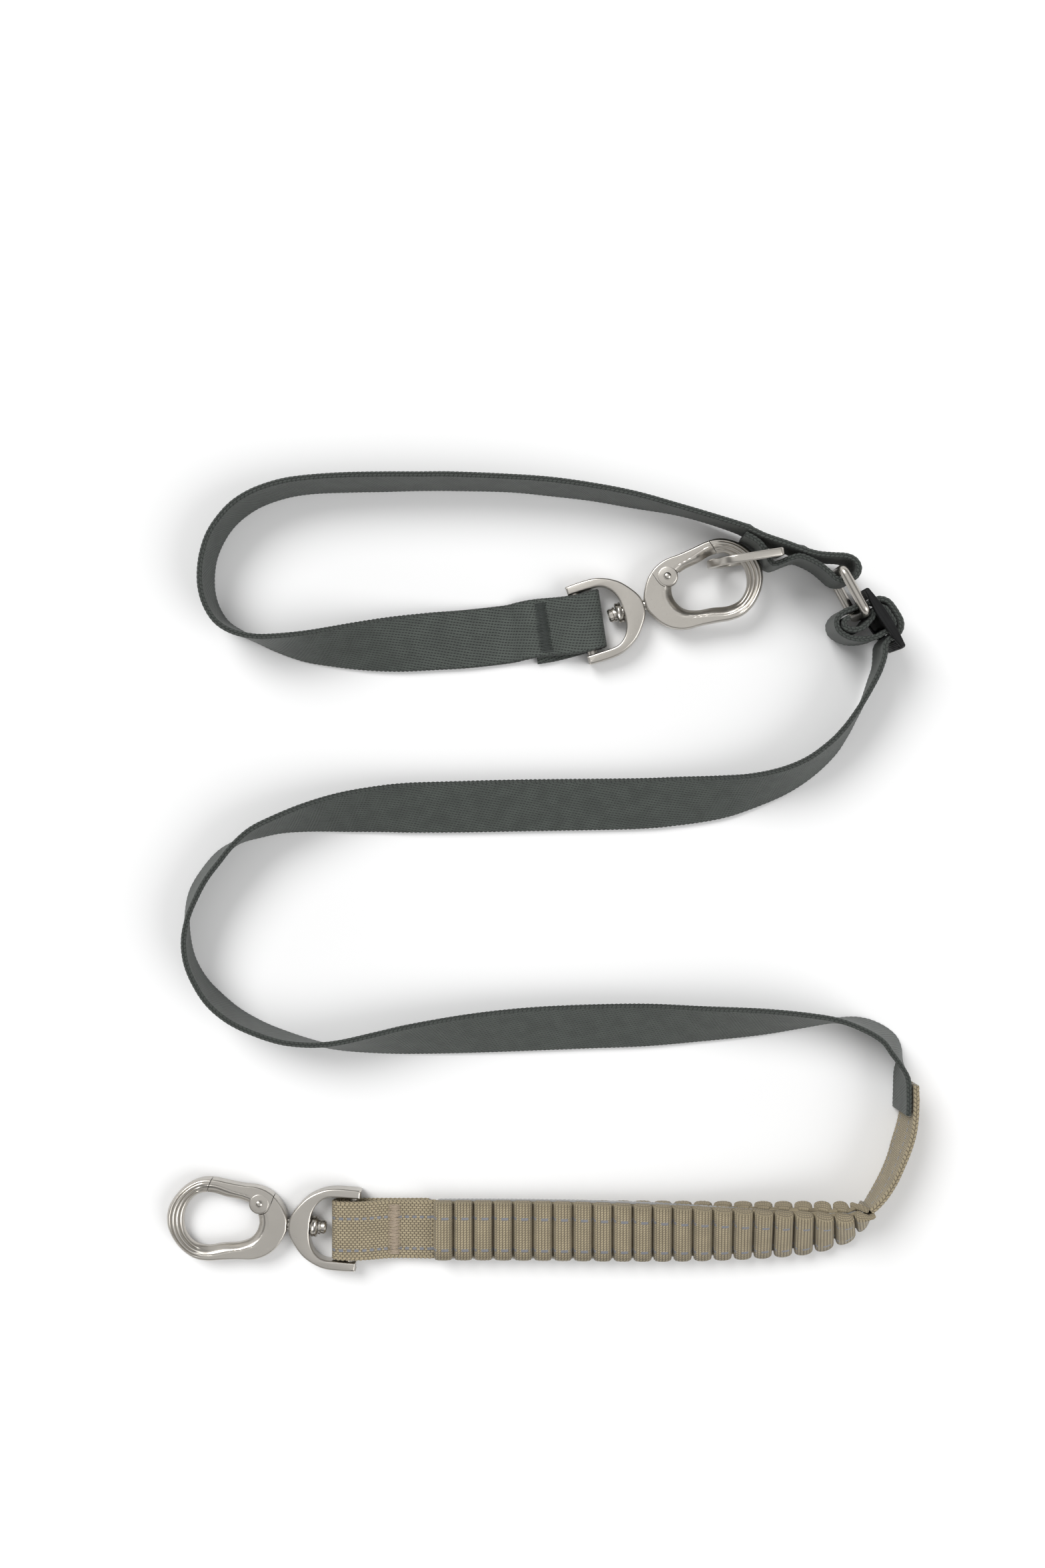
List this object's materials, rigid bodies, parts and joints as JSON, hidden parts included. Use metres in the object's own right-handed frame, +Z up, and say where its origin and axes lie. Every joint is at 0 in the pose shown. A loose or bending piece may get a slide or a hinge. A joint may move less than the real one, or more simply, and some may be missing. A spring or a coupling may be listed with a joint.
{
  "type": "hands-free dog lead with bungee section",
  "caption": "Webbing lead with a handle loop, a stretch bungee section, swivel snap hooks, a D ring, a rectangular ring and a length slider, laid out in curves.",
  "frame": {"origin": "on the surface the lead lies on, below the middle of its metal and plastic hardware's box", "axes": "+Z up from the surface; +X towards the adjuster's side; +Y towards the handle loop's side"},
  "size_m": [0.3222, 0.3423, 0.0353],
  "materials": {
    "green_webbing": "woven polyester webbing, matt",
    "tan_webbing": "woven polyester webbing with reflective threads, matt",
    "elastic": "woven elastic, matt",
    "stitching": "sewing thread, matt",
    "slider_plastic": "moulded, matt black",
    "steel_fittings": "satin nickel plate",
    "nickel_hardware": "satin nickel plate"
  },
  "bodies": {
    "lead": {"handle_webbing": "green_webbing", "main_webbing": "green_webbing", "bungee_tail_webbing": "tan_webbing", "bungee_sleeve": "tan_webbing", "elastic_core": "elastic", "handle_stitch": "stitching", "ring_stitch": "stitching", "link_stitch": "stitching", "bungee_joint_stitch": "stitching", "slider": "slider_plastic"},
    "link": {"link_ring": "nickel_hardware"},
    "d_ring": {"d_ring": "nickel_hardware"},
    "bail_a": {"bail_a": "nickel_hardware", "swivel_washer_a": "steel_fittings"},
    "hook_a": {"hook_body_a": "nickel_hardware", "swivel_rivet_a": "steel_fittings", "gate_pin_a": "steel_fittings", "gate_spring_a": "steel_fittings"},
    "gate_a": {"gate_a": "nickel_hardware"},
    "bungee_end": {"bungee_end_webbing": "tan_webbing", "bungee_end_stitch": "stitching"},
    "bail_b": {"bail_b": "nickel_hardware", "swivel_washer_b": "steel_fittings"},
    "hook_b": {"hook_body_b": "nickel_hardware", "swivel_rivet_b": "steel_fittings", "gate_pin_b": "steel_fittings", "gate_spring_b": "steel_fittings"},
    "gate_b": {"gate_b": "nickel_hardware"}
  },
  "joints": [
    {"name": "link_swing", "type": "hinge", "parent": "lead", "child": "link", "pos_m": [0.1292, 0.1404, 0.017], "axis": [0, 0, 1], "range_deg": [-2, 0.5]},
    {"name": "d_ring_swing", "type": "hinge", "parent": "lead", "child": "d_ring", "pos_m": [0.1023, 0.1483, 0.0177], "axis": [0, 0, 1], "range_deg": [0, 32]},
    {"name": "bail_a_lift", "type": "hinge", "parent": "lead", "child": "bail_a", "pos_m": [0.0214, 0.1195, 0.0046], "axis": [0.3007, -0.9537, 0], "range_deg": [0, 5]},
    {"name": "hook_a_swivel", "type": "hinge", "parent": "bail_a", "child": "hook_a", "pos_m": [0.048, 0.12789, 0.00704], "axis": [0.9501, 0.2996, 0.0872], "range_deg": [-5, 5]},
    {"name": "gate_a_hinge", "type": "hinge", "parent": "hook_a", "child": "gate_a", "pos_m": [0.05751, 0.1398, 0.00815], "axis": [0.0831, 0.0262, -0.9962], "range_deg": [0, 28], "stiffness_Nm_per_rad": 0.06, "springref_deg": -20.05},
    {"name": "bungee_stretch", "type": "slide", "parent": "lead", "child": "bungee_end", "axis": [-1, 0, 0], "range_m": [0, 0.15], "stiffness_N_per_m": 80, "deforming": ["bungee_sleeve", "elastic_core"]},
    {"name": "bail_b_lift", "type": "hinge", "parent": "bungee_end", "child": "bail_b", "pos_m": [-0.0786, -0.142, 0.0046], "axis": [0.075, 0.9972, 0], "range_deg": [0, 75]},
    {"name": "hook_b_swivel", "type": "hinge", "parent": "bail_b", "child": "hook_b", "pos_m": [-0.10652, -0.1399, 0.0046], "axis": [-0.9972, 0.075, 0], "continuous": true},
    {"name": "gate_b_hinge", "type": "hinge", "parent": "hook_b", "child": "gate_b", "pos_m": [-0.11855, -0.13047, 0.0046], "axis": [0, 0, 1], "range_deg": [0, 28], "stiffness_Nm_per_rad": 0.06, "springref_deg": -20.05}
  ],
  "couplings": [
    {"joint": "d_ring_swing", "follows": "gate_a_hinge", "ratio": 1.14}
  ]
}
